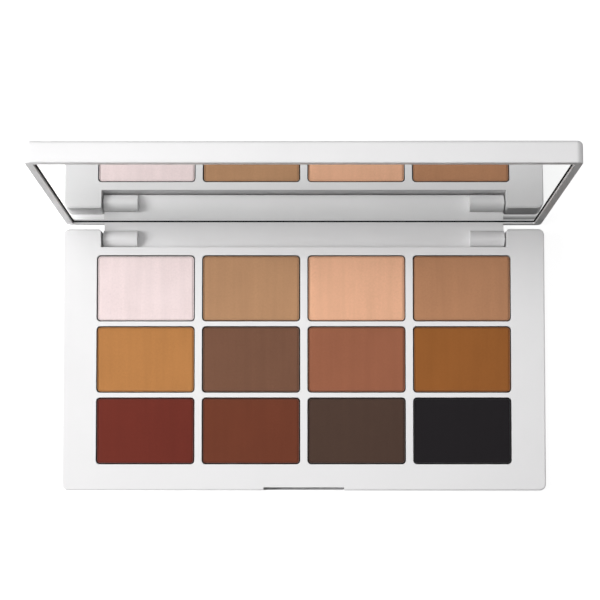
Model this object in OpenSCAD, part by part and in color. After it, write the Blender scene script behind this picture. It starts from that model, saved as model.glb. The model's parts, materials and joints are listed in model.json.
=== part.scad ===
// Twelve-shade eyeshadow palette with a mirrored, hinged lid, in millimetres.
// The origin is the centre of the base's underside. +X runs to the right,
// +Y to the hinge and +Z up. The lid is drawn open, resting on its stop.

/* [Case] */
// Width of the case, left to right
case_w = 150; // [146:1:156]
// Depth of the case, front to back
case_d = 81.5; // [81:0.5:85]
// Height of the base, from the underside to the deck
base_h = 8.4; // [8.2:0.1:9.6]
// Radius of the case's vertical corners
corner_r = 2; // [1.2:0.1:2.5]
// Rounding of the base's top and bottom edges
edge_r = 0.5; // [0.3:0.1:0.5]
// Thickness of the base's outer walls
wall_t = 2; // [1.8:0.1:2.2]
// Thickness of the deck around the pans
deck_t = 1.6; // [1.4:0.1:1.8]
// Thickness of the bottom cover
cover_t = 1; // [0.9:0.1:1.2]

/* [Shades] */
// Distance from one shade to the next in a row
pitch_x = 32.8; // [32.6:0.05:33.1]
// Distance from one row of shades to the next
pitch_y = 22.2; // [22:0.1:22.4]
// Width of each well in the deck
well_w = 30.55; // [30:0.05:30.8]
// Depth of each well in the deck, front to back
well_d = 20.7; // [20:0.1:20.8]
// Corner radius of each well
well_r = 1.2; // [0.8:0.1:2]
// Distance from the hinge recess to the back row of wells
recess_to_well = 2.55; // [2.4:0.05:3]
// Gap between a pan and its well, on each side
pan_gap = 0.35; // [0.25:0.05:0.45]
// Height of a pan
pan_h = 4.2; // [3.8:0.1:4.3]
// Wall and floor thickness of a pan
pan_t = 0.25; // [0.2:0.05:0.4]
// How far a pan's rim is below the deck
pan_drop = 0.35; // [0.2:0.05:0.5]
// How far the powder is below its pan's rim
powder_drop = 0.1; // [0.05:0.05:0.3]

/* [Lid] */
// Thickness of the lid
lid_t = 6.3; // [6:0.1:7]
// Gap between the closed lid and the deck
closed_gap = 0.5; // [0.35:0.05:0.6]
// Rounding of the lid's outer edges
lid_edge_r = 1.2; // [0.8:0.1:1.5]
// Width of the lid's rim around the mirror
rim_w = 2.3; // [2:0.1:2.6]
// How far the mirror is set back from the rim
mirror_drop = 0.75; // [0.6:0.05:0.9]
// Thickness of the mirror
mirror_t = 1.8; // [1.5:0.1:2]
// Width of the black bead that fills the gap around the mirror
mirror_gap = 0.35; // [0.25:0.05:0.45]
// How far the bead stands out in front of the mirror
bead_proud = 0.2; // [0.1:0.05:0.3]
// Thickness of the lid's cover behind the mirror
lid_cover_t = 1.6; // [1.4:0.1:1.8]

/* [Hinge] */
// Lean of the open lid behind the vertical, in degrees
open_lean = 3.25; // [1:0.25:5]
// Radius of the hinge barrels
barrel_r = 2.7; // [2.5:0.05:2.75]
// Half the length of the lid's hinge tongue
tongue_half = 62.9; // [62:0.1:63]
// Length of the solid barrel at each end of the tongue
barrel_l = 10.7; // [9:0.1:12]
// Thickness of the web that joins the tongue to the lid
web_t = 2.3; // [1.8:0.1:2.3]
// Radius of the shallow trough along the tongue
trough_r = 40; // [20:5:60]
// Half the width of the hinge recess in the base
recess_half = 63.3; // [63.3:0.1:64]
// Depth of the hinge recess, front to back
recess_d = 5.75; // [5.7:0.05:5.9]
// Radius of the hinge pins
pin_r = 0.75; // [0.6:0.05:0.8]
// Running clearance around each pin in its barrel
pin_fit = 0.05; // [0.03:0.01:0.08]

/* [Closure] */
// Distance of each magnet from the middle of the palette
magnet_x = 44; // [30:1:48]
// Diameter of the magnets
magnet_dia = 5; // [4:0.5:5]
// Thickness of the magnets
magnet_t = 2; // [1.5:0.1:2]
// Width of the thumb notch in the front edge
notch_w = 25; // [18:1:30]
// How far the thumb notch cuts back from the front face
notch_d = 0.95; // [0.8:0.05:1.1]
// Thickness of the low lip left in front of the notch's slot
notch_lip = 0.25; // [0.2:0.05:0.35]

/* [Hidden] */
$fn = 64;
ROWS = ["front", "middle", "back"];
columns = 4;
PAN_NODES = [for (row = ROWS, i = [1:columns]) str("pan_", row, "_", i)];
POWDER_NODES = [for (row = ROWS, i = [1:columns]) str("powder_", row, "_", i)];

// The shades' colours, from the front row to the back row, left to right
SHADE_COLORS = [
    ["#74342B", "#723F2E", "#503D36", "#242124"],
    ["#BD824D", "#795644", "#975F48", "#905A2E"],
    ["#F1DFDD", "#B48968", "#DDAA8A", "#AA7C5B"]];
SHELL_COLOR = "#EFEEEF";

cut = 0.1;            // how far a cutting shape runs past the face that it cuts
slip = 0.1;           // side clearance of a piece that is glued or welded in
back_y = case_d / 2;
front_y = -case_d / 2;

// Hinge: the open tongue's outer face just rests on the bottom cover's lip
stop_gap = 0.02;
hinge_y = back_y - barrel_r;
hinge_z = cover_t + stop_gap + (barrel_r + (back_y - hinge_y) * sin(open_lean)) / cos(open_lean);
open_angle = 90 + open_lean;
recess_y = back_y - recess_d;
mouth_r = 0.8;
trough_half = tongue_half - barrel_l;
// where the web's inner face leaves the barrel's circle, above the hinge axis
crease_h = sqrt(pow(barrel_r, 2) - pow(barrel_r - web_t, 2));

// Base
deck_under = base_h - deck_t;
cavity_back = recess_y - 1.65;
rebate_w = wall_t / 2;
// The back edge of the deck follows this radius about the hinge axis, which
// keeps it clear of the lid's rim as the rim swings past
relief_r = base_h + closed_gap - hinge_z - 0.08;

// Pans
pan_w = well_w - 2 * pan_gap;
pan_d = well_d - 2 * pan_gap;
pan_r = well_r - 0.2;
pan_top = base_h - pan_drop;
pan_z = pan_top - pan_h;
glue_t = 0.15;
tray_floor_z = pan_z - glue_t;
tray_floor_t = 1.2;
back_row_y = recess_y - recess_to_well - well_d / 2;

// Lid, in its closed position
lid_z = base_h + closed_gap;
lid_top = lid_z + lid_t;
rim_edge_r = 0.4;
mirror_z = lid_z + mirror_drop;
tape_t = 0.2;
tape_z = mirror_z + mirror_t;
ledge_z = tape_z + tape_t;
ledge_w = 5;
mirror_w = case_w - 2 * (rim_w + mirror_gap);
mirror_d = case_d - 2 * (rim_w + mirror_gap);
lid_inner_z = lid_top - lid_cover_t;

// Closure
magnet_y = front_y + 5.1;
magnet_z = deck_under + 0.9 - magnet_t;
plate_size = [10, 4, 1];
plate_y = front_y + 4.6;

// Hinge pins
pin_inner_x = 56.8;
pin_outer_x = 69.5;
bore_inner_x = 56.5;

// Label
label_size = [60, 30, 0.1];
label_pocket = 0.15;

// ---- Shapes that repeat ----

// A rectangle with round corners, centred on the origin
module round_rect(w, d, r) {
    square([w - 2 * r, d], center = true);
    square([w, d - 2 * r], center = true);
    for (x = [-1, 1], y = [-1, 1])
        translate([x * (w / 2 - r), y * (d / 2 - r)]) circle(r);
}

// A flat plate with round vertical corners, from z to z + h
module plate(w, d, r, z, h) {
    translate([0, 0, z]) linear_extrude(h) round_rect(w, d, r);
}

// A box between two opposite corners
module block(low, high) {
    translate(low) cube(high - low);
}

// The case's outline as a slab whose bottom and top edges are rounded
module case_slab(z, h, bottom_r, top_r) {
    hull() for (x = [-1, 1], y = [-1, 1])
        translate([x * (case_w / 2 - corner_r), y * (case_d / 2 - corner_r), z])
            rotate_extrude($fn = 32) polygon(concat(
                [[0, 0]],
                quarter_arc(corner_r - bottom_r, bottom_r, bottom_r, -90),
                quarter_arc(corner_r - top_r, h - top_r, top_r, 0),
                [[0, h]]));
}

// Points of a quarter circle about (x, y), counterclockwise from angle a
function quarter_arc(x, y, r, a, steps = 6) =
    [for (i = [0:steps]) [x, y] + r * [cos(a + 90 * i / steps), sin(a + 90 * i / steps)]];

// Places a child at every well's centre
module at_wells() {
    for (row = [0:2], column = [0:columns - 1]) at_well(row, column) children();
}

module at_well(row, column) {
    translate([(column - (columns - 1) / 2) * pitch_x, back_row_y - (2 - row) * pitch_y, 0])
        children();
}

// A cylinder along the hinge axis between two X positions
module along_hinge(r, x0, x1) {
    translate([x0, hinge_y, hinge_z]) rotate([0, 90, 0]) cylinder(r = r, h = x1 - x0);
}

// Draws a child at the right-hand end and mirrors it to the left-hand end
module both_ends() {
    children();
    mirror([1, 0, 0]) children();
}

// Turns a child from the closed position to the open one
module opened() {
    translate([0, hinge_y, hinge_z]) rotate([-open_angle, 0, 0])
        translate([0, -hinge_y, -hinge_z]) children();
}

// ---- Base ----

module base_frame() {
    color(SHELL_COLOR) difference() {
        case_slab(0, base_h, edge_r, edge_r);
        frame_cavity();
        at_wells() plate(well_w, well_d, well_r, deck_under - cut, deck_t + 2 * cut);
        hinge_recess();
        hinge_edge_relief();
        thumb_notch();
        magnets(magnet_z - cut, magnet_t + cut, slip / 2);
        both_ends() along_hinge(pin_r, recess_half - cut, pin_outer_x);
    }
}

// The hollow inside the frame, open below, with a rebate for the bottom cover
module frame_cavity() {
    inner = case_w / 2 - wall_t;
    rebate = case_w / 2 - rebate_w;
    block([-inner, front_y + wall_t, -cut], [inner, cavity_back, deck_under]);
    block([-rebate, front_y + rebate_w, -cut], [rebate, cavity_back + rebate_w, cover_t]);
}

// The recess for the tongue, with the corners of its mouth rounded
module hinge_recess() {
    block([-recess_half, recess_y, -cut], [recess_half, back_y + cut, base_h + cut]);
    block([-recess_half, cavity_back, -cut], [recess_half, back_y + cut, cover_t]);
    both_ends() difference() {
        block([recess_half - cut, back_y - mouth_r, -cut],
              [recess_half + mouth_r, back_y + cut, base_h + cut]);
        translate([recess_half + mouth_r, back_y - mouth_r, -2 * cut])
            cylinder(r = mouth_r, h = base_h + 4 * cut);
    }
}

module hinge_edge_relief() {
    difference() {
        block([-case_w, hinge_y, hinge_z + barrel_r], [case_w, back_y + cut, base_h + cut]);
        along_hinge(relief_r, -case_w - cut, case_w + cut);
    }
}

// A nick in the front edge for a thumbnail, with a deep slot behind its low lip
module thumb_notch() {
    end_r = 0.3;
    nick_h = 1.2;
    slot_h = 5.4;
    slot_d = notch_d - notch_lip;
    translate([0, front_y, 0]) plate(notch_w, 2 * notch_d, end_r, base_h - nick_h, nick_h + cut);
    translate([0, front_y + notch_lip + slot_d / 2, 0])
        plate(notch_w, slot_d, end_r, base_h - slot_h, slot_h + cut);
}

// Inner tray: a floor under the pans and walls between them
module pan_tray() {
    outer_w = case_w - 2 * (wall_t + slip);
    front = front_y + wall_t + slip;
    back = cavity_back - slip;
    color("#2A2A2C") difference() {
        block([-outer_w / 2, front, cover_t], [outer_w / 2, back, deck_under]);
        at_wells() plate(well_w, well_d, well_r, tray_floor_z, base_h);
        at_wells() plate(well_w, well_d, well_r, 0, tray_floor_z - tray_floor_t);
        magnets(magnet_z, magnet_t + cut, slip / 2);
    }
}

// Bottom cover, with the lip under the hinge that stops the open lid
module bottom_cover() {
    w = case_w - 2 * (rebate_w + slip);
    front = front_y + rebate_w + slip;
    lip_w = 2 * (recess_half - slip);
    color(SHELL_COLOR) difference() {
        union() {
            block([-w / 2, front, 0], [w / 2, cavity_back + rebate_w - slip, cover_t]);
            block([-lip_w / 2, 0, 0], [lip_w / 2, back_y, cover_t]);
        }
        plate(label_size.x + 2 * slip, label_size.y + 2 * slip, 1, -cut, label_pocket + cut);
    }
}

module underside_label() {
    color("white") plate(label_size.x, label_size.y, 1, label_pocket - label_size.z, label_size.z);
}

// Two dots of glue under every pan
module pan_glue_dots() {
    dot_r = 3;
    color("#D8D2C4") at_wells() for (side = [-1, 1])
        translate([side * pan_w / 4, 0, tray_floor_z]) cylinder(r = dot_r, h = glue_t);
}

// ---- Pans and powders ----

module pan(row, column) {
    color("#C9C9CC") at_well(row, column) difference() {
        plate(pan_w, pan_d, pan_r, pan_z, pan_h);
        plate(pan_w - 2 * pan_t, pan_d - 2 * pan_t, pan_r - pan_t, pan_z + pan_t, pan_h);
    }
}

module powder(row, column) {
    color(SHADE_COLORS[row][column]) at_well(row, column)
        plate(pan_w - 2 * pan_t, pan_d - 2 * pan_t, pan_r - pan_t,
              pan_z + pan_t, pan_h - pan_t - powder_drop);
}

// ---- Magnetic closure ----

module magnets(z, h, gap) {
    for (side = [-1, 1])
        translate([side * magnet_x, magnet_y, z]) cylinder(d = magnet_dia + 2 * gap, h = h);
}

module base_magnets() {
    color("#A8A8AC") magnets(magnet_z, magnet_t, 0);
}

module steel_plates(gap) {
    for (side = [-1, 1])
        translate([side * magnet_x, plate_y, 0])
            plate(plate_size.x + 2 * gap, plate_size.y + 2 * gap, 0.5, ledge_z - gap,
                  plate_size.z + gap);
}

module lid_steel_plates() {
    color("#9A9A9E") opened() steel_plates(0);
}

// ---- Hinge pins ----

module hinge_pin(x0, x1) {
    color("#B4B4B8") along_hinge(pin_r, x0, x1);
}

// ---- Lid ----

module lid_shell() {
    color(SHELL_COLOR) opened() difference() {
        union() {
            case_slab(lid_z, lid_t, rim_edge_r, lid_edge_r);
            hinge_tongue();
        }
        mirror_pocket();
        steel_plates(slip / 2);
        both_ends() along_hinge(pin_r + pin_fit, bore_inner_x, tongue_half + cut);
    }
}

// Pocket for the mirror, and a hollow with a ledge around it behind the mirror
module mirror_pocket() {
    pocket_w = case_w - 2 * rim_w;
    pocket_d = case_d - 2 * rim_w;
    plate(pocket_w, pocket_d, 0.6, lid_z - cut, ledge_z - lid_z + cut);
    rib_t = 1.2;
    bays = 4;
    hollow_w = pocket_w - 2 * ledge_w;
    bay_w = (hollow_w - (bays - 1) * rib_t) / bays;
    for (i = [0:bays - 1])
        translate([(i - (bays - 1) / 2) * (bay_w + rib_t), 0, 0])
            plate(bay_w, pocket_d - 2 * ledge_w, 1, ledge_z - cut, lid_inner_z - ledge_z + cut);
}

// Tongue in the hinge recess: a solid barrel at each end, a trough between them
module hinge_tongue() {
    difference() {
        union() {
            along_hinge(barrel_r, -tongue_half, tongue_half);
            block([-tongue_half, back_y - web_t, hinge_z],
                  [tongue_half, back_y, mirror_z]);
        }
        translate([-trough_half, back_y - web_t - trough_r, hinge_z + crease_h])
            rotate([0, 90, 0]) cylinder(r = trough_r, h = 2 * trough_half, $fn = 128);
    }
}

module mirror_glass() {
    color("#AEB4BA") opened() plate(mirror_w, mirror_d, 0.5, mirror_z, mirror_t);
}

// Black bead in the gap around the mirror
module mirror_bead() {
    bead_z = mirror_z - bead_proud;
    bead_h = mirror_t + bead_proud;
    color("#161617") opened() difference() {
        plate(mirror_w + 2 * mirror_gap, mirror_d + 2 * mirror_gap, 0.6, bead_z, bead_h);
        plate(mirror_w, mirror_d, 0.5, bead_z - cut, bead_h + 2 * cut);
    }
}

module mirror_tape() {
    color("#3A3A3C") opened() difference() {
        plate(mirror_w, mirror_d, 0.5, tape_z, tape_t);
        plate(mirror_w - 2 * ledge_w, mirror_d - 2 * ledge_w, 0.5, tape_z - cut, tape_t + 2 * cut);
    }
}

// ---- The nodes ----

base_frame();
pan_tray();
bottom_cover();
underside_label();
pan_glue_dots();
base_magnets();
hinge_pin(-pin_outer_x, -pin_inner_x);  // hinge_pin_left
hinge_pin(pin_inner_x, pin_outer_x);  // hinge_pin_right
lid_shell();
mirror_glass();  // mirror
mirror_bead();
mirror_tape();
lid_steel_plates();
for (row = [0:2], column = [0:columns - 1]) {
    pan(row, column);
    powder(row, column);
}
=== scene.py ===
"""Looks of the eyeshadow palette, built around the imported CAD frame. All lengths are in metres."""

import json
import math

import bmesh
import bpy
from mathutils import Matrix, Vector, noise


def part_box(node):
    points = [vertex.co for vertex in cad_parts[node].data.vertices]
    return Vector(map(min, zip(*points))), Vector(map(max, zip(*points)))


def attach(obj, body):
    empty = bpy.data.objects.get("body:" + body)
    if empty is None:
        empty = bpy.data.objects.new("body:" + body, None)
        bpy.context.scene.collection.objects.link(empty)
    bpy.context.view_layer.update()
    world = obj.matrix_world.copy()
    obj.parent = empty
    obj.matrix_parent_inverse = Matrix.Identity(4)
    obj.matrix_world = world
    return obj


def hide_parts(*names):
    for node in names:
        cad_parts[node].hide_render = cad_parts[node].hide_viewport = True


MM = 0.001
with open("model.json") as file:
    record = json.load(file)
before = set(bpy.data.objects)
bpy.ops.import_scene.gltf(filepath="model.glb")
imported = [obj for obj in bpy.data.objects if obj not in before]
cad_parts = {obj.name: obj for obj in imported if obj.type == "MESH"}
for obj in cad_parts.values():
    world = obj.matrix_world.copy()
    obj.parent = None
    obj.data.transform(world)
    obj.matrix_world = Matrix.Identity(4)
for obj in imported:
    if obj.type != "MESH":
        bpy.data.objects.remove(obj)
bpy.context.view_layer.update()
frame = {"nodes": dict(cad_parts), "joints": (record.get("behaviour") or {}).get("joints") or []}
nodes = frame["nodes"]
ROWS = ("front", "middle", "back")
COLUMNS = (1, 2, 3, 4)

# Where the open lid's faces are
lid_joint = frame["joints"][0]
HINGE = Vector(lid_joint["pos_m"])
OPEN_LEAN = math.radians(lid_joint["range_deg"][1] - 90)
CLOSED_GAP = 0.5 * MM
TONGUE_HALF = 62.9 * MM

# How far the edges are rounded
DECK_EDGE_R = 0.10 * MM
LID_EDGE_R = 0.20 * MM
COVER_EDGE_R = 0.07 * MM
PAN_EDGE_R = 0.06 * MM

# Which edges those are: how sharp, and for some pieces how near to one of the named planes
SHARP_ANGLE = math.radians(40)
IN_PLANE = 0.01 * MM

# A powder cake: its round corners, and its faces from side to side and from front to back
CAKE_CORNER_R = 0.75 * MM
CAKE_ACROSS, CAKE_ALONG = 96, 64

SHELL_WHITE = (0.79, 0.785, 0.79)
LIGHTS_AIM = Vector((0, 0, 0.02))

# The shades' colours in linear light, each row from left to right
SHADES = {
    "front": ((0.158, 0.024, 0.014), (0.160, 0.040, 0.018), (0.073, 0.040, 0.028), (0.010, 0.008, 0.010)),
    "middle": ((0.484, 0.209, 0.064), (0.184, 0.084, 0.049), (0.316, 0.113, 0.059), (0.300, 0.103, 0.021)),
    "back": ((0.890, 0.740, 0.735), (0.479, 0.262, 0.138), (0.807, 0.445, 0.281), (0.475, 0.231, 0.119)),
}


# ---- Node helpers ----


def feed(tree, value, socket):
    """Sets a node's input to a number, or links it to another node's output."""
    if isinstance(value, bpy.types.NodeSocket):
        tree.links.new(value, socket)
    else:
        socket.default_value = value


class Nodes:
    """A material's node tree, with short calls for the nodes used here."""

    def __init__(self, name):
        self.material = bpy.data.materials.new(name)
        self.material.use_nodes = True
        self.tree = self.material.node_tree
        self.shader = self.tree.nodes["Principled BSDF"]
        coordinates = self.tree.nodes.new("ShaderNodeTexCoord")
        self.place = coordinates.outputs["Object"]
        self.facing = coordinates.outputs["Normal"]

    def link(self, source, target):
        """Joins an output to an input."""
        self.tree.links.new(source, target)

    def set(self, **values):
        """Sets the shader's own inputs, named with _ for each space."""
        for name, value in values.items():
            self.shader.inputs[name.replace("_", " ")].default_value = value

    def scaled(self, x, y, z):
        """Object position times (x, y, z), for grain that is longer one way."""
        node = self.tree.nodes.new("ShaderNodeMapping")
        node.inputs["Scale"].default_value = (x, y, z)
        self.link(self.place, node.inputs["Vector"])
        return node.outputs["Vector"]

    def part(self, vector, axis):
        """One of a vector's three numbers."""
        node = self.tree.nodes.new("ShaderNodeSeparateXYZ")
        self.link(vector, node.inputs["Vector"])
        return node.outputs[axis]

    def noise(self, vector, scale, detail=3.0, rough=0.5):
        """Noise with so many cells in a metre."""
        node = self.tree.nodes.new("ShaderNodeTexNoise")
        node.inputs["Scale"].default_value = scale
        node.inputs["Detail"].default_value = detail
        node.inputs["Roughness"].default_value = rough
        self.link(vector, node.inputs["Vector"])
        return node.outputs["Fac"]

    def ranged(self, value, low, high, out_low, out_high):
        """Turns low..high into out_low..out_high, each of which is a number or a socket."""
        node = self.tree.nodes.new("ShaderNodeMapRange")
        self.link(value, node.inputs["Value"])
        names = ("From Min", "From Max", "To Min", "To Max")
        for name, number in zip(names, (low, high, out_low, out_high)):
            feed(self.tree, number, node.inputs[name])
        return node.outputs["Result"]

    def ramp(self, value, stops):
        """A colour for each value, blended between the stops."""
        node = self.tree.nodes.new("ShaderNodeValToRGB")
        elements = node.color_ramp.elements
        while len(elements) < len(stops):
            elements.new(0.5)
        for element, (place, colour) in zip(elements, stops):
            element.position = place
            element.color = (*colour, 1)
        self.link(value, node.inputs["Fac"])
        return node.outputs["Color"]

    def base_colour(self, value, dark, light):
        """Colours the surface, from dark where the value is 0.3 to light where it is 0.7."""
        self.link(self.ramp(value, ((0.3, dark), (0.7, light))), self.shader.inputs["Base Color"])

    def mix(self, factor, under, over):
        """Lays a fixed colour over another. Inputs 6 and 7 and output 2 are the node's colour ones."""
        node = self.tree.nodes.new("ShaderNodeMix")
        node.data_type = "RGBA"
        self.link(factor, node.inputs["Factor"])
        self.link(under, node.inputs[6])
        node.inputs[7].default_value = (*over, 1)
        return node.outputs[2]

    def times(self, first, second):
        """Two values multiplied."""
        node = self.tree.nodes.new("ShaderNodeMath")
        node.operation = "MULTIPLY"
        self.link(first, node.inputs[0])
        self.link(second, node.inputs[1])
        return node.outputs["Value"]

    def bump(self, height, distance, strength, under=None):
        """The normal for a fine relief, on top of another one if given."""
        node = self.tree.nodes.new("ShaderNodeBump")
        node.inputs["Distance"].default_value = distance
        node.inputs["Strength"].default_value = strength
        self.link(height, node.inputs["Height"])
        if under:
            self.link(under, node.inputs["Normal"])
        return node.outputs["Normal"]


def tinted(colour, factor):
    """A colour made darker or lighter."""
    return tuple(min(c * factor, 1.0) for c in colour)


# ---- Materials ----


def satin_plastic(name, colour, roughness=0.36):
    """White moulded plastic: faint orange peel, uneven satin and barely uneven colour."""
    m = Nodes(name)
    cloud = m.noise(m.place, 60, 4)
    peel = m.noise(m.place, 1500, 2)
    fine = m.noise(m.place, 9000, 2)
    m.base_colour(cloud, tinted(colour, 0.985), tinted(colour, 1.01))
    m.link(m.ranged(fine, 0.3, 0.7, roughness - 0.04, roughness + 0.05), m.shader.inputs["Roughness"])
    normal = m.bump(peel, 0.02 * MM, 0.35)
    m.link(m.bump(fine, 0.004 * MM, 0.5, normal), m.shader.inputs["Normal"])
    return m.material


def matte_plastic(name, colour, gloss=0.5):
    """Dark moulded plastic or rubber with a fine matte grain."""
    m = Nodes(name)
    grain = m.noise(m.place, 5000, 3)
    m.base_colour(grain, tinted(colour, 0.96), colour)
    m.set(Roughness=0.62, Specular_IOR_Level=gloss)
    m.link(m.bump(grain, 0.02 * MM, 0.6), m.shader.inputs["Normal"])
    return m.material


def pressed_powder(name, colour):
    """Pressed powder: fine mineral grain, and broad streaks front to back where the press cloth ran."""
    m = Nodes(name)
    grain = m.noise(m.place, 4200, 5, 0.7)
    speck = m.noise(m.place, 1500, 3, 0.6)
    streak = m.noise(m.scaled(1, 0.06, 0.3), 420, 3, 0.55)
    cloud = m.noise(m.place, 70, 3)
    tone = m.ramp(speck, ((0.25, tinted(colour, 0.92)), (0.5, colour), (0.75, tinted(colour, 1.06))))
    tone = m.mix(m.ranged(streak, 0.3, 0.7, 0.0, 0.6), tone, tinted(colour, 0.86))
    tone = m.mix(m.ranged(cloud, 0.35, 0.7, 0.0, 0.35), tone, tinted(colour, 1.14))
    m.link(tone, m.shader.inputs["Base Color"])
    m.set(Roughness=0.92, Sheen_Weight=0.06, Sheen_Roughness=0.6, Specular_IOR_Level=0.25)
    normal = m.bump(streak, 0.05 * MM, 0.35)
    normal = m.bump(speck, 0.03 * MM, 0.3, normal)
    m.link(m.bump(grain, 0.02 * MM, 0.5, normal), m.shader.inputs["Normal"])
    return m.material


def pan_metal(name, dust):
    """Dull tinplate with drawn marks, its upward faces dusted with the pan's own powder. The bare sides are
    kept dark, painted shade for the gaps around the pans.
    """
    m = Nodes(name)
    drawn = m.noise(m.scaled(1, 1, 14), 1400, 3)
    dusting = m.noise(m.place, 1100, 4, 0.65)
    # The bare tin is made dark, partly painted shade that keeps the gaps around the pans dark; only the
    # upward faces carry real powder dust
    metal = m.ramp(drawn, ((0.3, (0.10, 0.10, 0.105)), (0.7, (0.16, 0.16, 0.165))))
    thin, thick = 0.82, 0.97
    upward = m.ranged(m.part(m.facing, "Z"), 0.4, 0.8, 0.0, 1.0)
    cover = m.times(m.ranged(dusting, 0.35, 0.65, thin, thick), upward)
    m.link(m.mix(cover, metal, tinted(dust, 1.15)), m.shader.inputs["Base Color"])
    m.link(m.ranged(cover, 0.0, thick, 0.8, 0.02), m.shader.inputs["Metallic"])
    m.link(m.ranged(cover, 0.0, thick, 0.45, 0.88), m.shader.inputs["Roughness"])
    m.link(m.bump(dusting, 0.015 * MM, 0.5), m.shader.inputs["Normal"])
    return m.material


def silvered_glass(name):
    """The mirror: a clean silver layer, faintly uneven in tone."""
    m = Nodes(name)
    haze = m.noise(m.place, 40, 3)
    m.base_colour(haze, (0.86, 0.87, 0.865), (0.885, 0.89, 0.885))
    m.set(Metallic=1.0, Roughness=0.0)
    return m.material


def bare_steel(name, colour, roughness):
    """Bare metal with fine marks across the X axis."""
    m = Nodes(name)
    turned = m.noise(m.scaled(20, 1, 1), 1500, 3)
    m.base_colour(turned, tinted(colour, 0.85), tinted(colour, 1.1))
    m.set(Metallic=1.0)
    m.link(m.ranged(turned, 0.3, 0.7, roughness - 0.06, roughness + 0.08), m.shader.inputs["Roughness"])
    m.link(m.bump(turned, 0.004 * MM, 0.5), m.shader.inputs["Normal"])
    return m.material


def paper(name, colour):
    """Matte paper or tape with a fibrous grain."""
    m = Nodes(name)
    fibre = m.noise(m.scaled(1, 0.3, 1), 2600, 5, 0.65)
    m.base_colour(fibre, tinted(colour, 0.93), colour)
    m.set(Roughness=0.78)
    m.link(m.bump(fibre, 0.01 * MM, 0.5), m.shader.inputs["Normal"])
    return m.material


def glue(name):
    """Dried amber glue with a lumpy surface."""
    m = Nodes(name)
    lumps = m.noise(m.place, 700, 3)
    m.base_colour(lumps, (0.52, 0.46, 0.34), (0.66, 0.60, 0.48))
    m.set(Roughness=0.3, Subsurface_Weight=0.1)
    m.link(m.bump(lumps, 0.05 * MM, 0.6), m.shader.inputs["Normal"])
    return m.material


def dress(node, material):
    """Gives a CAD node its material in every slot."""
    for slot in nodes[node].material_slots:
        slot.material = material


# ---- CAD nodes that stay ----


def geometry_group(name):
    """An empty node group for a modifier."""
    group = bpy.data.node_groups.new(name, "GeometryNodeTree")
    for way in ("INPUT", "OUTPUT"):
        group.interface.new_socket("Geometry", in_out=way, socket_type="NodeSocketGeometry")
    return group


def make_fresh_shading():
    """A modifier's node group that drops the imported normals, so that they follow the softened edges."""
    group = geometry_group("fresh_shading")
    last = group.nodes.new("NodeGroupInput").outputs[0]
    for attribute in ("custom_normal", "sharp_edge", "sharp_face"):
        remove = group.nodes.new("GeometryNodeRemoveAttribute")
        remove.inputs["Name"].default_value = attribute
        group.links.new(last, remove.inputs["Geometry"])
        last = remove.outputs["Geometry"]
    group.links.new(last, group.nodes.new("NodeGroupOutput").inputs[0])
    return group


FRESH_SHADING = make_fresh_shading()


def modifier(obj, kind, **settings):
    """Adds a modifier with its settings."""
    made = obj.modifiers.new(kind.lower(), kind)
    for name, value in settings.items():
        setattr(made, name, value)
    return made


def maths(group, operation, first, second=0.0):
    """The result of one sum in a geometry group. Each term is a number or a socket."""
    node = group.nodes.new("ShaderNodeMath")
    node.operation = operation
    feed(group, first, node.inputs[0])
    feed(group, second, node.inputs[1])
    return node.outputs[0]


def distance_from(group, position, point, normal):
    """How far a position in a geometry group is from a plane, on either side."""
    dot = group.nodes.new("ShaderNodeVectorMath")
    dot.operation = "DOT_PRODUCT"
    group.links.new(position, dot.inputs[0])
    dot.inputs[1].default_value = normal
    return maths(group, "ABSOLUTE", maths(group, "SUBTRACT", dot.outputs["Value"], point.dot(normal)))


def make_edge_choice(name, planes):
    """A modifier's node group that marks the sharp outward edges lying in some planes, for the bevel."""
    group = geometry_group(name)
    ends = group.nodes.new("GeometryNodeInputMeshEdgeVertices").outputs
    nearest = 1.0
    for point, normal in planes:
        first = distance_from(group, ends["Position 1"], point, normal)
        second = distance_from(group, ends["Position 2"], point, normal)
        nearest = maths(group, "MINIMUM", maths(group, "MAXIMUM", first, second), nearest)
    angle = group.nodes.new("GeometryNodeInputMeshEdgeAngle").outputs["Signed Angle"]
    sharp = maths(group, "GREATER_THAN", angle, SHARP_ANGLE)
    store = group.nodes.new("GeometryNodeStoreNamedAttribute")
    store.data_type = "FLOAT"
    store.domain = "EDGE"
    store.inputs["Name"].default_value = "bevel_weight_edge"
    in_plane = maths(group, "LESS_THAN", nearest, IN_PLANE)
    group.links.new(maths(group, "MULTIPLY", sharp, in_plane), store.inputs["Value"])
    group.links.new(group.nodes.new("NodeGroupInput").outputs[0], store.inputs["Geometry"])
    group.links.new(store.outputs["Geometry"], group.nodes.new("NodeGroupOutput").inputs[0])
    return group


def soften(obj, width, segments=3, planes=()):
    """Rounds off an object's sharp edges, as moulding and stamping do. Its flat faces stay flat.

    Planes, each a point and the way it faces, limit this to the edges that lie in them. The bevel's own
    limit is then off, because one sliver anywhere in the mesh would bring the width down to almost nothing.
    """
    modifier(obj, "NODES", node_group=FRESH_SHADING)
    modifier(obj, "WELD", merge_threshold=0.001 * MM)
    modifier(obj, "DECIMATE", decimate_type="DISSOLVE", angle_limit=math.radians(0.3))
    if planes:
        modifier(obj, "NODES", node_group=make_edge_choice(obj.name + "_edges", planes))
    bevel = modifier(obj, "BEVEL", width=width, segments=segments, loop_slide=False)
    bevel.angle_limit = SHARP_ANGLE
    if planes:
        bevel.limit_method = "WEIGHT"
        bevel.use_clamp_overlap = False
    modifier(obj, "EDGE_SPLIT", split_angle=math.radians(35), use_edge_sharp=False)
    modifier(obj, "WEIGHTED_NORMAL", weight=100, keep_sharp=False)


# ---- Powders ----


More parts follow.
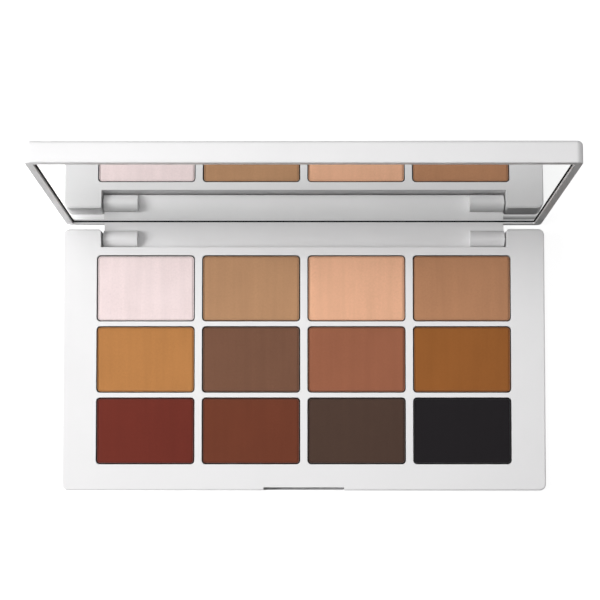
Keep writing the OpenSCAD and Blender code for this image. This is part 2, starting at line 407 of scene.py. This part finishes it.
def rounded(x, y, half_w, half_d, r):
    """Moves a point of a rectangle into the same rectangle with round corners."""
    a = (abs(x) - (half_w - r)) / r
    b = (abs(y) - (half_d - r)) / r
    if a <= 0 or b <= 0:
        return x, y
    new_a = a * math.sqrt(1 - b * b / 2)
    new_b = b * math.sqrt(1 - a * a / 2)
    return math.copysign(half_w - r + new_a * r, x), math.copysign(half_d - r + new_b * r, y)


def edge_distance(x, y, half_w, half_d, r):
    """How far a point is inside the outline of a rectangle with round corners."""
    a = abs(x) - (half_w - r)
    b = abs(y) - (half_d - r)
    return r - math.hypot(max(a, 0), max(b, 0)) - min(max(a, b), 0)


def powder_height(x, y, inside, seed):
    """Where the pressed surface is below its highest point: soft edge, slight waves, streaks and pits."""
    edge_width, edge_drop = 0.35 * MM, 0.10 * MM
    wave_depth, streak_depth, pit_depth = 0.012 * MM, 0.006 * MM, 0.005 * MM
    drop = edge_drop * max(0.0, 1 - inside / edge_width) ** 2
    wave = noise.noise(Vector((x * 160, y * 160, seed)))
    streak = noise.fractal(Vector((x * 1900, y * 60, seed)), 0.8, 2.0, 3)
    pit = noise.fractal(Vector((x * 2600, y * 2600, seed + 9)), 0.7, 2.0, 2)
    return -drop - wave_depth * (1 - wave) - streak_depth * (1 - streak) - pit_depth * (1 - pit)


def make_powder(node, seed, material):
    """A pressed cake in its pan, standing for the plain CAD one."""
    low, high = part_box(node)
    centre = (low + high) / 2
    half_w, half_d = (high.x - low.x) / 2, (high.y - low.y) / 2
    across, along = CAKE_ACROSS, CAKE_ALONG
    mesh = bmesh.new()
    top = []
    for j in range(along + 1):
        line = []
        for i in range(across + 1):
            square_x, square_y = (2 * i / across - 1) * half_w, (2 * j / along - 1) * half_d
            x, y = rounded(square_x, square_y, half_w, half_d, CAKE_CORNER_R)
            inside = edge_distance(x, y, half_w, half_d, CAKE_CORNER_R)
            z = high.z + powder_height(centre.x + x, centre.y + y, inside, seed)
            line.append(mesh.verts.new((centre.x + x, centre.y + y, z)))
        top.append(line)
    for j in range(along):
        for i in range(across):
            mesh.faces.new((top[j][i], top[j][i + 1], top[j + 1][i + 1], top[j + 1][i]))
    right_side = [line[-1] for line in top[:-1]]
    left_side = [line[0] for line in top[:0:-1]]
    rim = top[0][:-1] + right_side + top[-1][:0:-1] + left_side
    foot = [mesh.verts.new((v.co.x, v.co.y, low.z)) for v in rim]
    for k in range(len(rim)):
        n = (k + 1) % len(rim)
        mesh.faces.new((rim[n], rim[k], foot[k], foot[n]))
    mesh.faces.new(foot[::-1])
    bmesh.ops.recalc_face_normals(mesh, faces=mesh.faces)
    data = bpy.data.meshes.new(node + "_cake")
    mesh.to_mesh(data)
    mesh.free()
    for face in data.polygons[:across * along]:
        face.use_smooth = True
    obj = bpy.data.objects.new(node + "_cake", data)
    bpy.context.scene.collection.objects.link(obj)
    data.materials.append(material)
    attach(obj, "base")
    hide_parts(node)


# ---- The palette ----

shell = satin_plastic("shell_white", SHELL_WHITE)
for part in ("base_frame", "lid_shell", "bottom_cover"):
    dress(part, shell)
# The pan tray is near black: painted shade, so that the narrow gaps around the pans read dark
dress("pan_tray", matte_plastic("tray_painted_shade", (0.022, 0.022, 0.024)))
dress("underside_label", paper("label_paper", (0.86, 0.86, 0.85)))
dress("pan_glue_dots", glue("glue"))
dress("mirror", silvered_glass("silvered_glass"))
# The near black, barely glossy bead gives the dark line round the mirror: partly dark sealant, partly
# painted shade of the gap there
dress("mirror_bead", matte_plastic("bead_black", (0.008, 0.008, 0.009), gloss=0.05))
dress("mirror_tape", paper("tape_black", (0.03, 0.03, 0.032)))
steel = bare_steel("pin_steel", (0.56, 0.56, 0.58), 0.28)
for part in ("hinge_pin_left", "hinge_pin_right"):
    dress(part, steel)
dress("base_magnets", bare_steel("magnet_nickel", (0.62, 0.60, 0.57), 0.22))
dress("lid_steel_plates", bare_steel("plate_steel", (0.45, 0.45, 0.47), 0.36))

# The faces whose edges show: the deck, the open lid's front and the two ends of its hinge tongue
deck_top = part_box("base_frame")[1].z
deck_plane = (Vector((0, 0, deck_top)), Vector((0, 0, 1)))
lid_faces = Vector((0, -math.cos(OPEN_LEAN), math.sin(OPEN_LEAN)))
front_plane = (HINGE - (deck_top + CLOSED_GAP - HINGE.z) * lid_faces, lid_faces)
tongue_ends = [(Vector((side * TONGUE_HALF, 0, 0)), Vector((side, 0, 0))) for side in (-1, 1)]
soften(nodes["base_frame"], DECK_EDGE_R, planes=[deck_plane])
soften(nodes["lid_shell"], LID_EDGE_R, planes=[front_plane] + tongue_ends)
soften(nodes["bottom_cover"], COVER_EDGE_R, segments=2)

for row_number, row in enumerate(ROWS):
    for column in COLUMNS:
        shade = SHADES[row][column - 1]
        pan = f"pan_{row}_{column}"
        powder = f"powder_{row}_{column}"
        dress(pan, pan_metal(pan + "_tin", shade))
        soften(nodes[pan], PAN_EDGE_R, segments=2)
        make_powder(powder, 10 * row_number + column, pressed_powder(powder + "_shade", shade))


# ---- Room, light and camera ----


def by_ray(tree, camera, mirror, light):
    """One strength for the camera to see, one for the mirror to show and one for the light given off."""
    rays = tree.nodes.new("ShaderNodeLightPath")
    strength = light
    for ray, shown in (("Is Singular Ray", mirror), ("Is Camera Ray", camera)):
        step = tree.nodes.new("ShaderNodeMapRange")
        tree.links.new(rays.outputs[ray], step.inputs["Value"])
        feed(tree, strength, step.inputs["To Min"])
        feed(tree, shown, step.inputs["To Max"])
        strength = step.outputs["Result"]
    return strength


def make_floor():
    """A table top that looks white to the camera, as the backdrop of a product picture does."""
    bpy.ops.mesh.primitive_plane_add(size=60, location=(0, 0, 0))
    floor = bpy.context.object
    floor.name = "floor"
    m = Nodes("floor_white")
    across = m.part(m.place, "X")
    half_fade = 50 * MM
    strip_blur = 1 * MM

    def from_left(left, right):
        """A value that goes from left to right under the middle of the case."""
        return m.ranged(across, -half_fade, half_fade, left, right)

    # Painted shade: the floor is darker on the right, standing for the shadow the case casts there, which
    # the lid's right rim reflects
    m.link(from_left(0.94, 0.24), m.shader.inputs["Base Color"])
    m.set(Roughness=0.9, Emission_Color=(1, 1, 1, 1), Specular_IOR_Level=0.1)
    # Painted shadow and painted light, seen only in the mirror: the floor behind the base, the narrow strip
    # under the open lid, glows little, and the floor in front glows more towards the right
    base_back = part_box("base_frame")[1].y
    in_front = from_left(0.35, 0.92)
    behind = m.part(m.place, "Y")
    in_mirror = m.ranged(behind, base_back - strip_blur, base_back + strip_blur, in_front, 0.10)
    # The floor glows: evenly white to the camera, and as a faint painted light, brighter on the left, in
    # the light it gives off
    strength = by_ray(m.tree, camera=0.9, mirror=in_mirror, light=from_left(0.12, 0))
    m.link(strength, m.shader.inputs["Emission Strength"])
    floor.data.materials.append(m.material)


def softbox(name, place, size, watts):
    """A square lamp aimed at the palette. The camera doesn't see it."""
    data = bpy.data.lights.new(name, "AREA")
    data.size = size
    data.energy = watts
    lamp = bpy.data.objects.new(name, data)
    bpy.context.scene.collection.objects.link(lamp)
    lamp.location = place
    lamp.rotation_euler = (LIGHTS_AIM - Vector(place)).to_track_quat("-Z", "Y").to_euler()
    lamp.visible_camera = False


def make_world():
    """A white room that gives off hardly any light of its own."""
    world = bpy.data.worlds.new("studio")
    world.use_nodes = True
    background = world.node_tree.nodes["Background"]
    background.inputs["Color"].default_value = (1, 1, 1, 1)
    # The room is full white to the camera but dimmer in the mirror: a painted reflection
    strength = by_ray(world.node_tree, camera=1.0, mirror=0.55, light=0.03)
    world.node_tree.links.new(strength, background.inputs["Strength"])
    bpy.context.scene.world = world


def make_camera():
    """The photograph's view: almost straight down, with the picture shifted towards the lid."""
    place = (0, -34.9 * MM, deck_top + 509.5 * MM)
    tilt = math.radians(2.84)
    data = bpy.data.cameras.new("camera")
    data.lens = 98.6
    data.shift_x = -0.0064
    data.shift_y = 0.15
    data.clip_start, data.clip_end = 0.01, 20
    camera = bpy.data.objects.new("camera", data)
    bpy.context.scene.collection.objects.link(camera)
    camera.location = place
    camera.rotation_euler = (tilt, 0, 0)
    bpy.context.scene.camera = camera


make_floor()
softbox("key_left", (-0.69, 0, 0.60), size=0.45, watts=6.2)
softbox("high_left_back", (-0.27, 0.27, 0.82), size=0.45, watts=2.4)
softbox("overhead", (0, 0, 1.2), size=0.6, watts=3.4)
# Nearly level with the deck and behind the mirror, so it lights the right-hand sides and little else
softbox("low_right", (0.45, 0.06, 0.03), size=0.05, watts=0.38)
make_world()
make_camera()
bpy.context.scene.view_settings.view_transform = "Standard"
